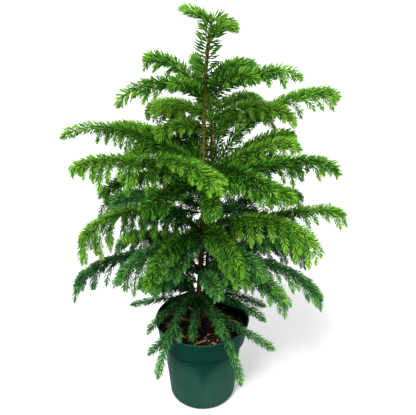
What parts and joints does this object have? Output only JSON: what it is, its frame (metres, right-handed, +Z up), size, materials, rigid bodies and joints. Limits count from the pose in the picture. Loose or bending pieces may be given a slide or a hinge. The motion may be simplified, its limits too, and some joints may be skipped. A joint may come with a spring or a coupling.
{
  "type": "potted norfolk island pine",
  "caption": "Young potted Norfolk Island pine: tiers of drooping needle-clad fronds round a slim trunk in a round green nursery pot.",
  "frame": {"origin": "centre of the pot's flat underside", "axes": "+Z up, -Y towards the viewer of the picture, +X to the viewer's right"},
  "size_m": [0.2942, 0.2282, 0.4246],
  "materials": {
    "pot": "satin dark green",
    "soil": "loose dark potting mix with bark chips",
    "bark": "thin brown young bark",
    "foliage": "green needles"
  },
  "bodies": {
    "root": {"leader": "foliage", "pot": "pot", "rear_leader": "foliage", "rear_stem": "bark", "rear_whorl_back_right": "foliage", "rear_whorl_low_right": "foliage", "rear_whorl_right": "foliage", "soil": "soil", "trunk": "bark", "whorl_1_back": "foliage", "whorl_1_back_left": "foliage", "whorl_1_back_right": "foliage", "whorl_1_front_left": "foliage", "whorl_1_front_right": "foliage", "whorl_1_left": "foliage", "whorl_1_right": "foliage", "whorl_2_back": "foliage", "whorl_2_back_left": "foliage", "whorl_2_front": "foliage", "whorl_2_front_left": "foliage", "whorl_2_front_right": "foliage", "whorl_2_left": "foliage", "whorl_2_right": "foliage", "whorl_3_back": "foliage", "whorl_3_back_bough": "bark", "whorl_3_back_left": "foliage", "whorl_3_back_left_bough": "bark", "whorl_3_front": "foliage", "whorl_3_front_bough": "bark", "whorl_3_front_left": "foliage", "whorl_3_front_left_bough": "bark", "whorl_3_front_right": "foliage", "whorl_3_front_right_bough": "bark", "whorl_3_left": "foliage", "whorl_3_left_bough": "bark", "whorl_3_right": "foliage", "whorl_3_right_bough": "bark", "whorl_4_back": "foliage", "whorl_4_back_bough": "bark", "whorl_4_back_left": "foliage", "whorl_4_back_left_bough": "bark", "whorl_4_back_right": "foliage", "whorl_4_back_right_bough": "bark", "whorl_4_front": "foliage", "whorl_4_front_bough": "bark", "whorl_4_front_left": "foliage", "whorl_4_front_left_bough": "bark", "whorl_4_front_right": "foliage", "whorl_4_front_right_bough": "bark", "whorl_4_left": "foliage", "whorl_4_left_bough": "bark", "whorl_4_right": "foliage", "whorl_4_right_bough": "bark", "whorl_5_front": "foliage", "whorl_5_front_right": "foliage", "whorl_5_left": "foliage", "whorl_5_low_left": "foliage", "whorl_5_low_right": "foliage", "whorl_5_right": "foliage"}
  },
  "joints": []
}
